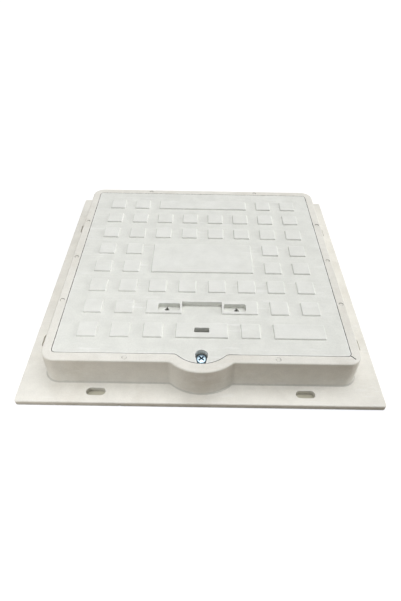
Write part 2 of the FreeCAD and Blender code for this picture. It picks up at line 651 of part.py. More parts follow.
# Threaded insert: a sleeve with a closed end, which keeps resin out of the thread in moulding; its
# top is flush with the lid's seat
threaded_insert = new_body("threaded_insert")
bind(threaded_insert, "Placement.Base.y", SCREW_Y)
bind(threaded_insert, "Placement.Base.z", SEAT)
sleeve_sketch = new_sketch(threaded_insert, "SleeveOutline")
round_hole(sleeve_sketch, "dim.insert_size")
extrude(threaded_insert, "Pad", "Sleeve", sleeve_sketch, "%s - %s" % (SEAT, INSERT_FOOT), down=True)

thread_sketch = new_sketch(threaded_insert, "ThreadBoreOutline")
round_hole(thread_sketch, "dim.screw_size + 2 * dim.thread_gap")
extrude(threaded_insert, "Pocket", "ThreadBore", thread_sketch, "%s - %s" % (SEAT, INSERT_FLOOR), down=True)

# Every object has to be sound before anything is written
doc.recompute()
for item in doc.Objects:
    if "Invalid" in item.State or "Error" in item.State:
        raise RuntimeError("%s did not build: %s" % (item.Name, item.State))

os.makedirs("parts", exist_ok=True)
pieces = [frame, lid, lock_screw, threaded_insert]
for piece in pieces:
    shape = piece.Shape
    if shape.isNull() or not shape.isValid() or len(shape.Solids) != 1:
        raise RuntimeError("%s is not one sound solid" % piece.Label)
for piece in pieces:
    piece.Shape.exportStep("parts/%s.step" % piece.Label)
    print("%s: %.1f cm3" % (piece.Label, piece.Shape.Volume / 1000))
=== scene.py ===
import math
from typing import NamedTuple

import bmesh
import bpy
from mathutils import Euler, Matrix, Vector
from mathutils.geometry import delaunay_2d_cdt


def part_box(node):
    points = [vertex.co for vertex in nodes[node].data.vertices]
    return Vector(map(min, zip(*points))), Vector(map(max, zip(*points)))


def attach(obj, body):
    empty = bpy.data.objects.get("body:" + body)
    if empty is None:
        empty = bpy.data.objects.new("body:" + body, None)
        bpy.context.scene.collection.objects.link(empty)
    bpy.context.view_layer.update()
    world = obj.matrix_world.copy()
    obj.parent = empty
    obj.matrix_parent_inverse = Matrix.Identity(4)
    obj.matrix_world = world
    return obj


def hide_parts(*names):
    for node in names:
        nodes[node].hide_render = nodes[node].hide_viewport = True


# Looks of the square composite access cover: the two mouldings with their rounded edges, the lock
# screw, the materials, the light and the camera. Metres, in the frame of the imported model.
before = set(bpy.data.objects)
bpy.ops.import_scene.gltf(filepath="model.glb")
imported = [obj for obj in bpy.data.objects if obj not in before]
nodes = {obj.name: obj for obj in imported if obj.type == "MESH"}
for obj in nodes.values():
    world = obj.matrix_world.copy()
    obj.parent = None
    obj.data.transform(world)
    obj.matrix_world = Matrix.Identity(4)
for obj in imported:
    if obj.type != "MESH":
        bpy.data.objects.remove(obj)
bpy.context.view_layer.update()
scene = bpy.context.scene


class Pattern(NamedTuple):
    """Noise that is fixed to the object: the size of its features in metres, its grain, its stretch and
    turn in degrees, and the span of its values that runs between two levels."""

    size: float
    detail: float = 4.0
    rough: float = 0.55
    stretch: tuple = (1, 1, 1)
    turn: float = 0.0
    span: tuple = (0.0, 1.0)
    levels: tuple = (0.0, 1.0)


MM = 0.001
UP = Vector((0, 0, 1))
FLANGE_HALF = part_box("frame")[1].x
LID_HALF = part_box("lid")[1].x
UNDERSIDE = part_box("frame")[0].z
FLANGE_TOP = UNDERSIDE + 9 * MM
RIM_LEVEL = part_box("frame")[1].z
TREAD_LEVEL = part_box("lid")[1].z
GRIP_FLOOR = TREAD_LEVEL - 8.5 * MM
CELL_CEILING = RIM_LEVEL - 12 * MM
LEVEL_TOLERANCE = 0.05 * MM

# Rounds of the mouldings
WELD_DISTANCE = 0.002 * MM
FLAT_ANGLE = math.radians(0.5)
EDGE_STRIP = 0.42 * MM
FILL_TOLERANCE = 0.0001 * MM
SHARP_ANGLE = math.radians(50)
CREASE_ANGLE = math.radians(40)
FLAT_WEIGHT = 80
ROUND_PROFILE = 0.5
ROUND_STEPS = 3
BLOCK_ROUND_STEPS = 4
BLOCK_CORNER_ROUND = 1.6 * MM
BLOCK_ROUND = 0.8 * MM
BLOCK_TOP_AREA = 500 * MM * MM
FACING_UP = 0.99
LID_ROUND = 0.4 * MM
FRAME_ROUND = 0.4 * MM
GAP_ROUND = 0.2 * MM
NOSE_MOUTH = -LID_HALF - 15 * MM
NICK_FLOOR = RIM_LEVEL - 3 * MM
NICK_SIDE = LID_HALF - 7 * MM
MARK_ROUND = 0.15 * MM
MARK_LEVEL = RIM_LEVEL - 1.2 * MM
MARK_WALL_AREA = 2 * MM * MM
MARK_WALL_LEAN = 0.5

# Lock screw, about its axis
SCREW_AXIS = Vector((0.0, -LID_HALF - 1.6 * MM, 0.0))
SCREW_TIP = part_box("lock_screw")[0].z
SCREW_SPOKES = 64
TIP_BEVEL = 0.9 * MM
CORE_RADIUS = 3.35 * MM
SHANK_RADIUS = 4.0 * MM
SHANK_RUN_IN = 0.7 * MM
HEAD_RADIUS = 8.0 * MM
HEAD_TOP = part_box("lock_screw")[1].z
HEAD_FOOT = HEAD_TOP - 6 * MM
HEAD_BEVEL = 0.3 * MM
HEAD_EDGE = 3.8 * MM
CROWN_STEPS = 12
CROWN_RADIUS_POWER = 0.5
CROWN_HEIGHT_POWER = 0.55
THREAD_TOP = HEAD_FOOT - 10 * MM
THREAD_PITCH = 1.25 * MM
THREAD_SPOKES = 24
THREAD_START_TURNS = 0.9
THREAD_BARE_TURNS = 1.5
CREST_RADIUS = 3.95 * MM
CREST_HALF = 0.06 * THREAD_PITCH
ROOT_RADIUS = CORE_RADIUS - 0.1 * MM
ROOT_HALF = 0.5 * THREAD_PITCH
CROSS_SPAN = 11.6 * MM
CROSS_WING = 2.5 * MM
CROSS_DEPTH = 3.8 * MM
CROSS_TAPER = 0.42
CROSS_OVERSHOOT = 1.0 * MM
CROSS_FLARE = 1.28
CROSS_ROUND = 0.12 * MM
CROSS_ROUND_STEPS = 2
CROSS_TURN = math.radians(45)

# Colours, linear
FRAME_TONE = (0.784, 0.768, 0.710, 1.0)
FRAME_STAIN = (0.60, 0.56, 0.48, 1.0)
LID_TONE = (0.758, 0.766, 0.722, 1.0)
LID_STAIN = (0.62, 0.62, 0.57, 1.0)
# Pale tone of scuffs, scratches, worn edges and tread, and of the painted highlights along the edges
SCUFF_AND_HIGHLIGHT_TONE = (0.90, 0.90, 0.885, 1.0)
# Dark tone of the painted shade in corners, pits and along the upstand's foot, and of the darkening low
# down
SHADE_AND_DARKENING_TONE = (0.17, 0.16, 0.13, 1.0)
# Pale tone of a dusting in the gap at the front, which also paints light over the gap's shade
DUST_AND_LIGHT_TONE = (0.93, 0.925, 0.90, 1.0)
# Blue of the zinc plate, partly a painted reflection of a bluish room
ZINC_AND_REFLECTION_BRIGHT = (0.46, 0.59, 0.69, 1.0)
ZINC_AND_REFLECTION_DULL = (0.29, 0.40, 0.49, 1.0)
# Painted shade in the screw's cross recess
PAINTED_RECESS_SHADE = (0.09, 0.12, 0.15, 1.0)
BRASS_BRIGHT = (0.74, 0.57, 0.28, 1.0)
BRASS_DULL = (0.56, 0.42, 0.22, 1.0)
FLOOR_TONE = (0.33, 0.27, 0.19, 1.0)
FLOOR_GLOW_TONE = (0.77, 0.82, 0.89, 1.0)
GROUND_TONE = (0.54, 0.52, 0.43, 1.0)
WHITE = (1.0, 1.0, 1.0, 1.0)

# Noise in the composite
MOTTLE = Pattern(22 * MM, detail=6.0, rough=0.62, span=(0.30, 0.70), levels=(0.955, 1.03))
SPECK = Pattern(1.1 * MM, detail=2.0, rough=0.5, span=(0.35, 0.65), levels=(0.965, 1.03))
CLOUD = Pattern(80 * MM, detail=5.0, rough=0.65, span=(0.46, 0.72))
PATCH = Pattern(70 * MM, detail=3.0, rough=0.5)
STREAK = Pattern(16 * MM, detail=5.0, rough=0.7, stretch=(0.35, 2.6, 1.0), turn=28, span=(0.50, 0.68))
SCRATCH = Pattern(9 * MM, detail=2.0, rough=0.5, stretch=(0.09, 3.2, 1.0), turn=-38, span=(0.66, 0.72))
EDGE_WEAR_AND_HIGHLIGHT_BREAKS = Pattern(11 * MM, rough=0.6, span=(0.36, 0.60), levels=(0.3, 1.0))
TREAD_BREAKS = Pattern(60 * MM, detail=3.0, span=(0.36, 0.62), levels=(0.2, 1.0))
CORNER_SHADE_BREAKS = Pattern(5 * MM, span=(0.36, 0.56), levels=(0.25, 1.0))
LOW_DARKENING_BREAKS = Pattern(14 * MM, rough=0.6, span=(0.34, 0.60), levels=(0.5, 1.0))
SHEEN = Pattern(30 * MM, span=(0.3, 0.7), levels=(0.50, 0.66))
WAVE = Pattern(9 * MM, detail=3.0)
GRAIN = Pattern(0.55 * MM, detail=3.0, rough=0.6)

# Scuffs, worn edges and tread of the composite, painted highlights on its edges, painted shade in its
# corners, pits and along the foot of the upstand, darkening low down, and a pale dusting with painted
# light in the gap at the front: a span says where a measure starts to tell and where it tells fully
SCUFF_SPAN = (0.46, 0.66)
SCRATCH_SPAN = (0.62, 0.40)
EDGE_REACH = 2.6 * MM
EDGE_SPAN = (0.90, 0.55)
TREAD_SPAN = (TREAD_LEVEL - 1.2 * MM, TREAD_LEVEL - 0.4 * MM)
TREAD_SHARE = 0.24
CORNER_REACH = 2.2 * MM
CORNER_SPAN = (0.97, 0.64)
PIT_REACH = 9.0 * MM
PIT_SPAN = (0.29, 0.12)
PIT_FLOOR_SPAN = (0.20, 0.42)
PIT_SHADE_SHARE = 0.95
FRONT_GAP = -LID_HALF - 0.5 * MM
DUST_AND_LIGHT_REACH_SPAN = (7 * MM, 4 * MM)
DUST_AND_LIGHT_START_SPAN = (42 * MM, 60 * MM)
DUST_AND_LIGHT_END_SPAN = (LID_HALF - 8 * MM, LID_HALF - 20 * MM)
DUST_AND_LIGHT_CORNER_SPAN = (0.85, 0.60)
LOW_DARKENING_SPAN = (FLANGE_TOP - 0.4 * MM, UNDERSIDE + 2 * MM)
LOW_DARKENING_SHARE = 0.30
FOOT_START_SPAN = (FLANGE_TOP + 0.08 * MM, FLANGE_TOP + 0.30 * MM)
FOOT_END_SPAN = (FLANGE_TOP + 3 * MM, FLANGE_TOP + 0.60 * MM)
FOOT_SHADE_SHARE = 0.36
COMPOSITE_SPECULAR = 0.35

# Metals
FILM_SPAN = (0.35, 0.7)
METAL_SHEEN_SPAN = (0.3, 0.7)
ZINC_FILM = Pattern(3.5 * MM, rough=0.6)
ZINC_GRAIN = Pattern(0.4 * MM, detail=3.0)
ZINC_ROUGHNESS = (0.26, 0.42)
RECESS_REACH = 3 * MM
RECESS_SPAN = (0.85, 0.40)
RECESS_SHADE_SHARE = 0.9
BRASS_FILM = Pattern(4 * MM, rough=0.6)
BRASS_RINGS = Pattern(0.6 * MM, detail=2.0, rough=0.5, stretch=(0.05, 0.05, 1.0))
BRASS_ROUGHNESS = (0.28, 0.45)

# Nodes: places of the colour sockets on a Mix node, and the rays that measure how open a place is
MIX_FIRST = 6
MIX_SECOND = 7
MIX_RESULT = 2
OPENNESS_SAMPLES = 6

# Floor, with a patch of ground that ends just inside the flange's edge and has cut corners
FLOOR_RADIUS = 30.0
FLOOR_SEGMENTS = 64
FLOOR_DROP = 0.3 * MM
GROUND_REACH = FLANGE_HALF - 1 * MM
GROUND_CORNER = 2 * FLANGE_HALF - 8 * MM

# Light: a broad lamp overhead, a low one from the right, a small box at the front left and a weak sky
SKY_LEVEL = 0.10
OVERHEAD_STRENGTH = 2.3
OVERHEAD_ANGLES = (-6, 4, 0)
OVERHEAD_SPREAD = 60
SIDE_STRENGTH = 1.35
SIDE_ANGLES = (0, 76, 10)
SIDE_SPREAD = 20
CORNER_POWER = 0.72
CORNER_PLACE = Vector((-450, -550, 250)) * MM
CORNER_TARGET = Vector((-150, -237, 30)) * MM
CORNER_SIZE = 250 * MM

# Camera at the photograph's viewing angle
CAMERA_PLACE = Vector((-5.38, -632.20, 573.70)) * MM
CAMERA_ANGLES = (45.496, -0.834, 0.498)
CAMERA_LENS = 26.491
CAMERA_SENSOR = 36.0
CAMERA_CLIP = 10 * MM


def flat_region(seed):
    """Faces that lie in one plane with a face and join up with it, as keys in a fixed order."""
    region = {seed: None}
    queue = [seed]
    while queue:
        for edge in queue.pop().edges:
            for face in edge.link_faces:
                if face not in region and face.normal.angle(seed.normal, math.pi) < FLAT_ANGLE:
                    region[face] = None
                    queue.append(face)
    return region


def outlines(region):
    """Closed rows of corners along the edges of a flat region, with the region on their left."""
    onward = {}
    for face in region:
        for side in face.loops:
            if any(neighbour not in region for neighbour in side.edge.link_faces):
                onward[side.vert] = side.link_loop_next.vert
    rows = []
    while onward:
        row = [next(iter(onward))]
        while onward[row[-1]] is not row[0]:
            row.append(onward[row[-1]])
        for corner in row:
            del onward[corner]
        rows.append(row)
    return rows


def heights(edge):
    """Heights of an edge's lower and upper end."""
    return sorted(vertex.co.z for vertex in edge.verts)


def lies_at(edge, level):
    """True for a level edge at a height."""
    low, high = heights(edge)
    return level - LEVEL_TOLERANCE < low and high < level + LEVEL_TOLERANCE


def is_hook_edge(edge):
    """Edge round the mouth or the foot of a hook hole, which is too close to its walls for a round."""
    return lies_at(edge, GRIP_FLOOR) or lies_at(edge, CELL_CEILING)


def is_sharp(edge):
    """Sharp outer edge that can be rounded."""
    return edge.is_convex and edge.calc_face_angle() > SHARP_ANGLE and not is_hook_edge(edge)


def is_whole_top(face):
    """Top face of a whole block or pad of the tread."""
    return face.normal.z > FACING_UP and face.calc_area() > BLOCK_TOP_AREA


def is_block_corner(edge):
    """Corner of a plain block of the tread, from the lid's ground up to the block's whole top face."""
    low, high = sorted(edge.verts, key=lambda vertex: vertex.co.z)
    starts_below = low.co.z < RIM_LEVEL - LEVEL_TOLERANCE
    is_short = high.co.z - low.co.z < TREAD_LEVEL - RIM_LEVEL - LEVEL_TOLERANCE
    return not starts_below and not is_short and any(is_whole_top(face) for face in high.link_faces)


def is_block_edge(edge):
    """Edge round the whole top face of a block or a pad."""
    is_at_top = heights(edge)[0] > TREAD_LEVEL - LEVEL_TOLERANCE
    return is_at_top and any(is_whole_top(face) for face in edge.link_faces)


def is_mouth_edge(edge):
    """Upright edge where the screw notch opens through the tip of the lid's nose."""
    return all(vertex.co.y < NOSE_MOUTH for vertex in edge.verts)


def is_mark_wall(face):
    """Very low wall, as round an ejector mark."""
    return abs(face.normal.z) < MARK_WALL_LEAN and face.calc_area() < MARK_WALL_AREA


def is_mark_edge(edge):
    """Edge of an ejector mark: it is near the top of the rim and beside a very low wall."""
    return heights(edge)[0] > MARK_LEVEL and any(is_mark_wall(face) for face in edge.link_faces)


def is_nick_edge(edge):
    """Edge of the nick in the rim's front right corner."""
    return all(
        vertex.co.x > NICK_SIDE and vertex.co.y < -NICK_SIDE and vertex.co.z > NICK_FLOOR - LEVEL_TOLERANCE
        for vertex in edge.verts
    )


def is_rim_edge(edge):
    """Edge at the level of the rim and the lid's ground, most of it along the gap between them."""
    return lies_at(edge, RIM_LEVEL)


def is_frame_gap_edge(edge):
    """Edge of the rim along the gap, or of the nick that cuts across it."""
    return is_nick_edge(edge) or is_rim_edge(edge) and not is_mark_edge(edge)


def is_lid_gap_edge(edge):
    """Edge of the lid along the gap, or at the mouth of the screw notch."""
    return is_rim_edge(edge) or is_mouth_edge(edge)


def is_inside(point, borders):
    """True where a line from the point along X crosses the borders an odd number of times."""
    crossings = 0
    for start, end in borders:
        if (start.y > point.y) != (end.y > point.y):
            reach = start.x + (point.y - start.y) / (end.y - start.y) * (end.x - start.x)
            crossings += reach > point.x
    return crossings % 2 == 1


def fill_between(mesh, rows, normal):
    """Fills the flat space between closed rows of corners with even triangles."""
    corners = [corner for row in rows for corner in row]
    turn = normal.rotation_difference(UP)
    flat = [(turn @ corner.co).to_2d() for corner in corners]
    links = []
    for row in rows:
        first = len(links)
        links += [(first + step, first + (step + 1) % len(row)) for step in range(len(row))]
    borders = [(flat[start], flat[end]) for start, end in links]
    points, _, triangles, sources, _, _ = delaunay_2d_cdt(flat, links, [], 0, FILL_TOLERANCE)
    for triangle in triangles:
        middle = sum((points[place] for place in triangle), Vector((0, 0))) / len(triangle)
        if is_inside(middle, borders):
            mesh.faces.new([corners[sources[place][0]] for place in triangle])


def strip_along(mesh, row, normal):
    """Lays a narrow strip of faces inside a row of corners and gives back its inner row."""
    inner = []
    for step, corner in enumerate(row):
        before = normal.cross(corner.co - row[step - 1].co).normalized()
        after = normal.cross(row[(step + 1) % len(row)].co - corner.co).normalized()
        inward = (before + after) / (1 + before.dot(after))
        inner.append(mesh.verts.new(corner.co + EDGE_STRIP * inward))
    for step, corner in enumerate(row):
        onward = (step + 1) % len(row)
        mesh.faces.new([corner, row[onward], inner[onward], inner[step]])
    return inner


def line_edges(mesh, region, rows):
    """Lays strips along the sharp edges of a flat region and fills the rest of it afresh."""
    normal = max(region, key=lambda face: face.calc_area()).normal.copy()
    sharp = [is_sharp(mesh.edges.get(row[:2])) for row in rows]
    bmesh.ops.delete(mesh, geom=list(region), context="FACES")
    inner = [strip_along(mesh, row, normal) if lined else row for row, lined in zip(rows, sharp)]
    fill_between(mesh, inner, normal)


def clean_copy(node):
    """Copy of a CAD node's mesh with its corners joined. A flat face with one outline becomes one face,
    and one with holes gets a strip along its edges, so that they can be rounded evenly."""
    mesh = bmesh.new()
    mesh.from_mesh(nodes[node].data)
    bmesh.ops.remove_doubles(mesh, verts=mesh.verts, dist=WELD_DISTANCE)
    mesh.normal_update()
    left = dict.fromkeys(mesh.faces)
    holed = []
    while left:
        region = {face: None for face in flat_region(next(iter(left))) if face in left}
        for face in region:
            del left[face]
        rows = outlines(region)
        if len(rows) > 1:
            holed.append((region, rows))
        elif len(region) > 1:
            bmesh.ops.dissolve_faces(mesh, faces=list(region), use_verts=False)
    for region, rows in holed:
        line_edges(mesh, region, rows)
    mesh.normal_update()
    return mesh


def round_edges(mesh, width, wanted=lambda edge: True, steps=ROUND_STEPS):
    """Rounds the sharp outer edges that a test picks, or all of them."""
    chosen = [edge for edge in mesh.edges if is_sharp(edge) and wanted(edge)]
    bmesh.ops.bevel(
        mesh, geom=chosen, offset=width, offset_type="OFFSET", segments=steps, profile=ROUND_PROFILE,
        affect="EDGES", clamp_overlap=False, loop_slide=True, material=-1,
    )


def new_object(name, mesh):
    """Object from a bmesh, which is used up."""
    data = bpy.data.meshes.new(name)
    mesh.to_mesh(data)
    mesh.free()
    made = bpy.data.objects.new(name, data)
    scene.collection.objects.link(made)
    return made


def new_piece(name, mesh, node, material):
    """Piece from a bmesh that stands for a CAD node, smooth between its creases, with its flat faces
    kept flat."""
    for edge in mesh.edges:
        edge.smooth = edge.calc_face_angle(0.0) < CREASE_ANGLE
    piece = new_object(name, mesh)
    piece.data.materials.append(material)
    piece.data.polygons.foreach_set("use_smooth", [True] * len(piece.data.polygons))
    flatten = piece.modifiers.new("FlatFaces", "WEIGHTED_NORMAL")
    flatten.weight = FLAT_WEIGHT
    flatten.keep_sharp = True
    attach(piece, "root")
    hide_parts(node)


class Recipe:
    """Node tree of a material or a world that is put together one node at a time."""

    def __init__(self, owner):
        owner.use_nodes = True
        self.tree = owner.node_tree

    def feed(self, socket, value):
        """Links a socket to another one, or sets its value."""
        if isinstance(value, bpy.types.NodeSocket):
            self.tree.links.new(value, socket)
        else:
            socket.default_value = value

    def add(self, kind, inputs=None, **settings):
        """New node with its settings and with what goes into its sockets."""
        node = self.tree.nodes.new(kind)
        for name, value in settings.items():
            setattr(node, name, value)
        for socket, value in (inputs or {}).items():
            self.feed(node.inputs[socket], value)
        return node

    def work_out(self, operation, first, second=0.0):
        """Result of a Math node."""
        return self.add("ShaderNodeMath", {0: first, 1: second}, operation=operation).outputs["Value"]

    def times(self, first, second):
        """Product of two values."""
        return self.work_out("MULTIPLY", first, second)

    def most(self, first, *others):
        """Largest of some values."""
        for other in others:
            first = self.work_out("MAXIMUM", first, other)
        return first

    def mix(self, factor, first, second, blend="MIX"):
        """First colour where the factor is 0, second colour where it is 1."""
        inputs = {"Factor": factor, MIX_FIRST: first, MIX_SECOND: second}
        return self.add("ShaderNodeMix", inputs, data_type="RGBA", blend_type=blend).outputs[MIX_RESULT]

    def axes(self, place):
        """The three coordinates of a place."""
        split = self.add("ShaderNodeSeparateXYZ", {"Vector": place})
        return [split.outputs[axis] for axis in "XYZ"]


class SurfaceRecipe(Recipe):
    """Material of a piece, with patterns that are fixed to the object."""

    def __init__(self, name):
        self.material = bpy.data.materials.new(name)
        super().__init__(self.material)
        self.shader = self.tree.nodes["Principled BSDF"]
        self.place = self.add("ShaderNodeTexCoord").outputs["Object"]

    def surface(self, inputs):
        """Sets the shader's own sockets."""
        for name, value in inputs.items():
            self.feed(self.shader.inputs[name], value)

    def noise(self, pattern):
        """Noise as it is, before its span is spread."""
        place = self.add("ShaderNodeMapping", {
            "Vector": self.place,
            "Rotation": (0.0, 0.0, math.radians(pattern.turn)),
            "Scale": pattern.stretch,
        }).outputs["Vector"]
        return self.add("ShaderNodeTexNoise", {
            "Vector": place,
            "Scale": 1.0 / pattern.size,
            "Detail": pattern.detail,
            "Roughness": pattern.rough,
        }).outputs["Fac"]

    def remap(self, value, span, levels=(0.0, 1.0)):
        """Runs smoothly from the first level to the second while the value runs over the span."""
        return self.add("ShaderNodeMapRange", {
            "Value": value,
            "From Min": span[0],
            "From Max": span[1],
            "To Min": levels[0],
            "To Max": levels[1],
        }, interpolation_type="SMOOTHSTEP").outputs["Result"]

    def spread(self, pattern):
        """Noise with its span of values spread over its levels."""
        return self.remap(self.noise(pattern), pattern.span, pattern.levels)

    def openness(self, reach, **settings):
        """Share of the space within reach of a point that nothing fills."""
        inputs = {"Distance": reach}
        node = self.add("ShaderNodeAmbientOcclusion", inputs, samples=OPENNESS_SAMPLES, **settings)
        return node.outputs["AO"]

    def bump(self, pattern, strength, depth, below=None):
        """Relief after a pattern, laid on the relief below it if there is one."""
        inputs = {"Height": self.noise(pattern), "Strength": strength, "Distance": depth}
        if below is not None:
            inputs["Normal"] = below
        return self.add("ShaderNodeBump", inputs).outputs["Normal"]


def base_colour(recipe, tone, stain, stain_share):
    """Mottled and specked tone with cloudy stains."""
    cloud = recipe.remap(recipe.noise(CLOUD), CLOUD.span, (0.0, stain_share))
    stained = recipe.mix(cloud, tone, stain)
    return recipe.mix(1.0, stained, recipe.times(recipe.spread(MOTTLE), recipe.spread(SPECK)), "MULTIPLY")


def paleness(recipe, height, scuff_share, edge_wear_and_highlight_share):
    """Share of scuffs, scratches, worn tread, and edges worn pale with a painted highlight along them."""
    patch = recipe.noise(PATCH)
    scuff = recipe.times(recipe.spread(STREAK), recipe.remap(patch, SCUFF_SPAN, (0.0, scuff_share)))
    scratch = recipe.times(recipe.spread(SCRATCH), recipe.remap(patch, SCRATCH_SPAN, (0.0, scuff_share)))
    # Convex edges worn pale, which also paints a highlight along them
    edge = recipe.openness(EDGE_REACH, inside=True, only_local=True)
    edge_wear_and_highlight = recipe.times(recipe.remap(edge, EDGE_SPAN, (0.0, edge_wear_and_highlight_share)), recipe.spread(EDGE_WEAR_AND_HIGHLIGHT_BREAKS))
    top = recipe.remap(height, TREAD_SPAN, (0.0, TREAD_SHARE))
    tread = recipe.times(top, recipe.spread(TREAD_BREAKS))
    return recipe.most(scuff, scratch, edge_wear_and_highlight, tread)


def dust_and_light_stretch(recipe, across, along):
    """1 about the straight stretches of the gap at the front, left and right of the nose, where a pale
    dusting and painted light lie, else 0.
    """
    aside = recipe.work_out("ABSOLUTE", across)
    ahead = recipe.work_out("ABSOLUTE", recipe.work_out("SUBTRACT", along, FRONT_GAP))
    straight = recipe.times(recipe.remap(aside, DUST_AND_LIGHT_START_SPAN), recipe.remap(aside, DUST_AND_LIGHT_END_SPAN))
    return recipe.times(recipe.remap(ahead, DUST_AND_LIGHT_REACH_SPAN), straight)


def painted_shade_and_darkening(recipe, height, corner, dust_and_light_zone, corner_shade_share):
    """Share of painted shade in the narrow corners and the pits, but not where the pale dusting and
    painted light lie, then of darkening low on the flange's edge and of painted shade along the foot of
    the upstand."""
    # Painted shade in narrow corners, such as round the ejector marks
    narrow = recipe.remap(corner, CORNER_SPAN, (0.0, corner_shade_share))
    painted_shade = recipe.times(narrow, recipe.spread(CORNER_SHADE_BREAKS))
    # Painted shade in deep pits: the hook holes, the key slot and the gap round the lid
    deep = recipe.remap(recipe.openness(PIT_REACH), PIT_SPAN, (0.0, PIT_SHADE_SHARE))
    pit = recipe.times(deep, recipe.remap(corner, PIT_FLOOR_SPAN))
    # No painted shade where the pale dusting and painted light lie in the gap at the front
    outside_dust_and_light = recipe.remap(dust_and_light_zone, (0.0, 1.0), levels=(1.0, 0.0))
    painted_shade = recipe.times(recipe.most(painted_shade, pit), outside_dust_and_light)
    # Darker towards the bottom of the flange's edge and on the underside
    low = recipe.remap(height, LOW_DARKENING_SPAN, (0.0, LOW_DARKENING_SHARE))
    low_darkening = recipe.times(low, recipe.spread(LOW_DARKENING_BREAKS))
    # Painted shade along the foot of the upstand, over its root round
    foot_end = recipe.remap(height, FOOT_END_SPAN, (0.0, FOOT_SHADE_SHARE))
    foot = recipe.times(recipe.remap(height, FOOT_START_SPAN), foot_end)
    return recipe.most(painted_shade, low_darkening, foot)


def composite(name, tone, stain, stain_share, scuff_share, edge_wear_and_highlight_share, corner_shade_share):
    """Moulded glass-filled polyester: mottled, stained and smeared in places, worn pale along its edges
    with painted highlights there, with painted shade in its narrow corners, its pits and along the foot of
    the upstand, darker low down, and with a pale dusting and painted light in the gap at the front."""
    recipe = SurfaceRecipe(name)
    across, along, height = recipe.axes(recipe.place)
    corner = recipe.openness(CORNER_REACH)
    dust_and_light_zone = dust_and_light_stretch(recipe, across, along)
    colour = base_colour(recipe, tone, stain, stain_share)
    colour = recipe.mix(paleness(recipe, height, scuff_share, edge_wear_and_highlight_share), colour, SCUFF_AND_HIGHLIGHT_TONE)
    colour = recipe.mix(painted_shade_and_darkening(recipe, height, corner, dust_and_light_zone, corner_shade_share), colour, SHADE_AND_DARKENING_TONE)
    # Pale dusting in the gap at the front, which paints light over the gap's shade
    dust_and_light = recipe.times(dust_and_light_zone, recipe.remap(corner, DUST_AND_LIGHT_CORNER_SPAN))
    colour = recipe.mix(dust_and_light, colour, DUST_AND_LIGHT_TONE)
    wave = recipe.bump(WAVE, strength=0.25, depth=0.10 * MM)
    recipe.surface({
        "Base Color": colour,
        "Roughness": recipe.spread(SHEEN),
        "Specular IOR Level": COMPOSITE_SPECULAR,
        "Normal": recipe.bump(GRAIN, strength=0.35, depth=0.06 * MM, below=wave),
    })
    return recipe.material


def zinc_plate():
    """Blue zinc plate with a fine grain and dull patches; the blue is partly a painted reflection, and the
    recess has painted shade.
    """
    recipe = SurfaceRecipe("zinc_plate")
    film = recipe.noise(ZINC_FILM)
    # Blue zinc, partly a painted reflection
    colour = recipe.mix(recipe.remap(film, FILM_SPAN), ZINC_AND_REFLECTION_BRIGHT, ZINC_AND_REFLECTION_DULL)
    # Painted shade in the cross recess
    recess_shade = recipe.remap(recipe.openness(RECESS_REACH), RECESS_SPAN, (0.0, RECESS_SHADE_SHARE))
    recipe.surface({
        "Base Color": recipe.mix(recess_shade, colour, PAINTED_RECESS_SHADE),
        "Metallic": 1.0,
        "Roughness": recipe.remap(film, METAL_SHEEN_SPAN, ZINC_ROUGHNESS),
        "Normal": recipe.bump(ZINC_GRAIN, strength=0.2, depth=0.03 * MM),
    })
    return recipe.material


def turned_brass():
    """Turned brass with fine rings and a dull film."""
    recipe = SurfaceRecipe("turned_brass")
    film = recipe.noise(BRASS_FILM)
    recipe.surface({
        "Base Color": recipe.mix(recipe.remap(film, FILM_SPAN), BRASS_BRIGHT, BRASS_DULL),
        "Metallic": 1.0,
        "Roughness": recipe.remap(film, METAL_SHEEN_SPAN, BRASS_ROUGHNESS),
        "Normal": recipe.bump(BRASS_RINGS, strength=0.3, depth=0.03 * MM),
    })
    return recipe.material


def frame_moulding():
    """Frame with rounded edges, held to the level of its underside."""
    mesh = clean_copy("frame")
    round_edges(mesh, MARK_ROUND, is_mark_edge)
    round_edges(mesh, GAP_ROUND, is_frame_gap_edge)
    round_edges(mesh, FRAME_ROUND, lambda edge: not is_mark_edge(edge))
    for vertex in mesh.verts:
        vertex.co.z = max(vertex.co.z, UNDERSIDE)
    material = composite(
        "frame_composite", FRAME_TONE, FRAME_STAIN,
        stain_share=0.30, scuff_share=0.35, edge_wear_and_highlight_share=0.45, corner_shade_share=0.90,
    )
    new_piece("frame_moulding", mesh, "frame", material)


def lid_moulding():
    """Lid with rounded blocks and edges."""
    mesh = clean_copy("lid")
    round_edges(mesh, BLOCK_CORNER_ROUND, is_block_corner, BLOCK_ROUND_STEPS)
    round_edges(mesh, BLOCK_ROUND, is_block_edge, BLOCK_ROUND_STEPS)
    round_edges(mesh, GAP_ROUND, is_lid_gap_edge)
    round_edges(mesh, LID_ROUND)
    bmesh.ops.remove_doubles(mesh, verts=mesh.verts, dist=WELD_DISTANCE)
    material = composite(
        "lid_composite", LID_TONE, LID_STAIN,
        stain_share=0.16, scuff_share=0.55, edge_wear_and_highlight_share=0.95, corner_shade_share=0.10,
    )
    new_piece("lid_moulding", mesh, "lid", material)


def around(radius, angle, height):
    """Place at an angle about the Z axis."""
    return radius * math.cos(angle), radius * math.sin(angle), height


def join_rings(mesh, rings):
    """Faces between each ring of corners and the next. A ring of one corner is a point on the axis."""
    for lower, upper in zip(rings, rings[1:]):
        corner_count = max(len(lower), len(upper))
        for step in range(corner_count):
            after = (step + 1) % corner_count
            corners = [
                lower[step % len(lower)], lower[after % len(lower)],
                upper[after % len(upper)], upper[step % len(upper)],
            ]
            mesh.faces.new(list(dict.fromkeys(corners)))


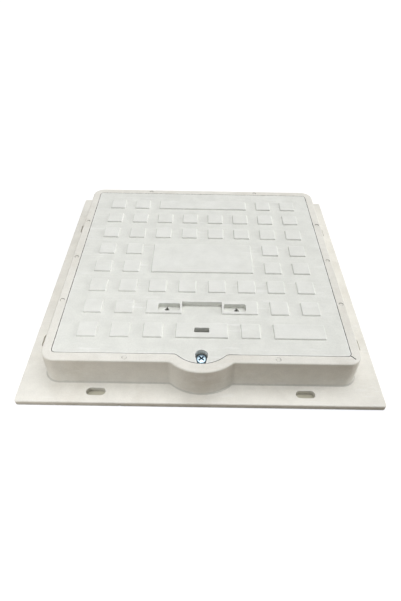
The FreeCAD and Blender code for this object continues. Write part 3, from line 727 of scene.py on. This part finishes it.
def close_ends(mesh, rings):
    """Faces on the first and the last ring of corners."""
    mesh.faces.new(rings[0][::-1])
    mesh.faces.new(rings[-1])


def screw_profile():
    """Pairs of radius and height from the tip up the core and the shank, then under the head, up its
    straight side and over its crown."""
    profile = [
        (0.0, SCREW_TIP),
        (CORE_RADIUS - TIP_BEVEL, SCREW_TIP),
        (CORE_RADIUS, SCREW_TIP + TIP_BEVEL),
        (CORE_RADIUS, THREAD_TOP),
        (SHANK_RADIUS, THREAD_TOP + SHANK_RUN_IN),
        (SHANK_RADIUS, HEAD_FOOT),
        (HEAD_RADIUS - HEAD_BEVEL, HEAD_FOOT),
        (HEAD_RADIUS, HEAD_FOOT + HEAD_BEVEL),
    ]
    crown_height = HEAD_TOP - HEAD_FOOT - HEAD_EDGE
    for step in range(CROWN_STEPS):
        angle = math.pi / 2 * step / CROWN_STEPS
        radius = HEAD_RADIUS * math.cos(angle) ** CROWN_RADIUS_POWER
        height = HEAD_FOOT + HEAD_EDGE + crown_height * math.sin(angle) ** CROWN_HEIGHT_POWER
        profile.append((radius, height))
    profile.append((0.0, HEAD_TOP))
    return profile


def screw_blank():
    """Body of revolution about Z that the screw is made from."""
    mesh = bmesh.new()
    rings = []
    for radius, height in screw_profile():
        angles = [math.tau * step / SCREW_SPOKES for step in range(SCREW_SPOKES if radius else 1)]
        rings.append([mesh.verts.new(around(radius, angle, height)) for angle in angles])
    join_rings(mesh, rings)
    bmesh.ops.recalc_face_normals(mesh, faces=mesh.faces)
    return new_object("screw_blank", mesh)


def cross_cutter():
    """Tapered cross that is taken out of the screw's head."""
    mesh = bmesh.new()
    wing = CROSS_WING / 2
    span = CROSS_SPAN / 2
    outline = [
        (span, -wing), (span, wing), (wing, wing), (wing, span), (-wing, span), (-wing, wing),
        (-span, wing), (-span, -wing), (-wing, -wing), (-wing, -span), (wing, -span), (wing, -wing),
    ]
    levels = [
        (HEAD_TOP - CROSS_DEPTH, CROSS_TAPER),
        (HEAD_TOP, 1.0),
        (HEAD_TOP + CROSS_OVERSHOOT, CROSS_FLARE),
    ]
    rings = [[mesh.verts.new((x * grow, y * grow, level)) for x, y in outline] for level, grow in levels]
    join_rings(mesh, rings)
    close_ends(mesh, rings)
    bmesh.ops.recalc_face_normals(mesh, faces=mesh.faces)
    return new_object("cross_cutter", mesh)


def cut_screw():
    """Screw with its cross recess, as a bmesh, before it gets its thread."""
    blank = screw_blank()
    cutter = cross_cutter()
    cut = blank.modifiers.new("Cross", "BOOLEAN")
    cut.operation = "DIFFERENCE"
    cut.solver = "EXACT"
    cut.object = cutter
    mesh = bmesh.new()
    mesh.from_object(blank, bpy.context.evaluated_depsgraph_get())
    for helper in (blank, cutter):
        bpy.data.objects.remove(helper)
    return mesh


def is_recess_edge(edge):
    """Sharp edge of the cross recess, above the straight side of the head."""
    is_above = all(vertex.co.z > HEAD_FOOT + HEAD_EDGE for vertex in edge.verts)
    return is_above and edge.is_manifold and edge.calc_face_angle() > SHARP_ANGLE


def add_thread(mesh):
    """Ridge with a narrow crest, wound round the core."""
    turns = (THREAD_TOP - SCREW_TIP) / THREAD_PITCH - THREAD_BARE_TURNS
    section = [
        (ROOT_RADIUS, -ROOT_HALF),
        (CREST_RADIUS, -CREST_HALF),
        (CREST_RADIUS, CREST_HALF),
        (ROOT_RADIUS, ROOT_HALF),
    ]
    rings = []
    for step in range(int(turns * THREAD_SPOKES) + 1):
        angle = math.tau * step / THREAD_SPOKES
        height = SCREW_TIP + THREAD_PITCH * (THREAD_START_TURNS + step / THREAD_SPOKES)
        rings.append([mesh.verts.new(around(radius, angle, height + rise)) for radius, rise in section])
    join_rings(mesh, rings)
    close_ends(mesh, rings)


def lock_screw():
    """Pan-head screw with a cross recess and a thread, in its place in the nose."""
    mesh = cut_screw()
    recess_edges = [edge for edge in mesh.edges if is_recess_edge(edge)]
    bmesh.ops.bevel(
        mesh, geom=recess_edges, offset=CROSS_ROUND, segments=CROSS_ROUND_STEPS, profile=ROUND_PROFILE,
        affect="EDGES", clamp_overlap=True,
    )
    add_thread(mesh)
    bmesh.ops.recalc_face_normals(mesh, faces=mesh.faces)
    bmesh.ops.rotate(mesh, verts=mesh.verts, matrix=Euler((0, 0, CROSS_TURN)).to_matrix())
    bmesh.ops.translate(mesh, verts=mesh.verts, vec=SCREW_AXIS)
    new_piece("lock_screw_plated", mesh, "lock_screw", zinc_plate())


def brass_insert():
    """Puts turned brass on the insert, which keeps its CAD mesh."""
    insert = nodes["threaded_insert"]
    insert.data.materials.clear()
    insert.data.materials.append(turned_brass())


def seen_as_background(recipe):
    """1 for rays of the camera, of mirrors and of glass, else 0."""
    rays = recipe.add("ShaderNodeLightPath").outputs
    return recipe.most(rays["Is Camera Ray"], rays["Is Glossy Ray"], rays["Is Transmission Ray"])


def beyond_frame(recipe):
    """0 on the ground under the frame, which shows only through the slots and the chip, else 1."""
    place = recipe.add("ShaderNodeNewGeometry").outputs["Position"]
    distance = recipe.add("ShaderNodeVectorMath", {0: place}, operation="ABSOLUTE").outputs["Vector"]
    across, along, _ = recipe.axes(distance)
    past_side = recipe.work_out("GREATER_THAN", recipe.most(across, along), GROUND_REACH)
    past_corner = recipe.work_out("GREATER_THAN", recipe.work_out("ADD", across, along), GROUND_CORNER)
    return recipe.most(past_side, past_corner)


def white_floor():
    """Floor that is white to the camera and to mirrors, keeps the object's shadow, and has a patch of
    ground under the frame."""
    material = bpy.data.materials.new("white_floor")
    recipe = Recipe(material)
    recipe.tree.nodes.clear()
    outside = beyond_frame(recipe)
    tone = recipe.mix(outside, GROUND_TONE, FLOOR_TONE)
    shown = recipe.times(seen_as_background(recipe), outside)
    matt = recipe.add("ShaderNodeBsdfDiffuse", {"Color": tone})
    glow = recipe.add("ShaderNodeEmission", {"Color": FLOOR_GLOW_TONE, "Strength": shown})
    both = recipe.add("ShaderNodeAddShader", {0: matt.outputs["BSDF"], 1: glow.outputs["Emission"]})
    recipe.add("ShaderNodeOutputMaterial", {"Surface": both.outputs["Shader"]})
    mesh = bmesh.new()
    bmesh.ops.create_circle(mesh, cap_ends=True, radius=FLOOR_RADIUS, segments=FLOOR_SEGMENTS)
    floor = new_object("floor", mesh)
    floor.data.materials.append(material)
    floor.location.z = -FLOOR_DROP


def even_sky():
    """White behind everything, and a weak even light."""
    scene.world = bpy.data.worlds.new("even_sky")
    recipe = Recipe(scene.world)
    recipe.tree.nodes.clear()
    light = recipe.add("ShaderNodeBackground", {"Color": WHITE, "Strength": SKY_LEVEL})
    seen = recipe.add("ShaderNodeBackground", {"Color": WHITE})
    choice = recipe.add("ShaderNodeMixShader", {
        "Fac": seen_as_background(recipe),
        1: light.outputs["Background"],
        2: seen.outputs["Background"],
    })
    recipe.add("ShaderNodeOutputWorld", {"Surface": choice.outputs["Shader"]})


def broad_sun(name, strength, angles, spread):
    """Distant lamp with soft shadows; angles and spread in degrees."""
    light = bpy.data.lights.new(name, "SUN")
    light.energy = strength
    light.angle = math.radians(spread)
    lamp = bpy.data.objects.new(name, light)
    lamp.rotation_euler = [math.radians(angle) for angle in angles]
    scene.collection.objects.link(lamp)


def soft_box(name, power, place, target, size):
    """Round lamp at a place, turned to a target, that the camera does not see."""
    light = bpy.data.lights.new(name, "AREA")
    light.shape = "DISK"
    light.energy = power
    light.size = size
    lamp = bpy.data.objects.new(name, light)
    lamp.location = place
    lamp.rotation_euler = (target - place).to_track_quat("-Z", "Y").to_euler()
    lamp.visible_camera = False
    scene.collection.objects.link(lamp)


def photo_camera():
    """The scene's camera."""
    lens = bpy.data.cameras.new("camera")
    lens.sensor_width = CAMERA_SENSOR
    lens.lens = CAMERA_LENS
    lens.clip_start = CAMERA_CLIP
    camera = bpy.data.objects.new("camera", lens)
    camera.location = CAMERA_PLACE
    camera.rotation_euler = [math.radians(angle) for angle in CAMERA_ANGLES]
    scene.collection.objects.link(camera)
    scene.camera = camera


frame_moulding()
lid_moulding()
lock_screw()
brass_insert()
white_floor()
even_sky()
broad_sun("overhead", OVERHEAD_STRENGTH, OVERHEAD_ANGLES, OVERHEAD_SPREAD)
broad_sun("side", SIDE_STRENGTH, SIDE_ANGLES, SIDE_SPREAD)
soft_box("corner", CORNER_POWER, CORNER_PLACE, CORNER_TARGET, CORNER_SIZE)
photo_camera()
scene.view_settings.view_transform = "Standard"

bpy.context.view_layer.update()
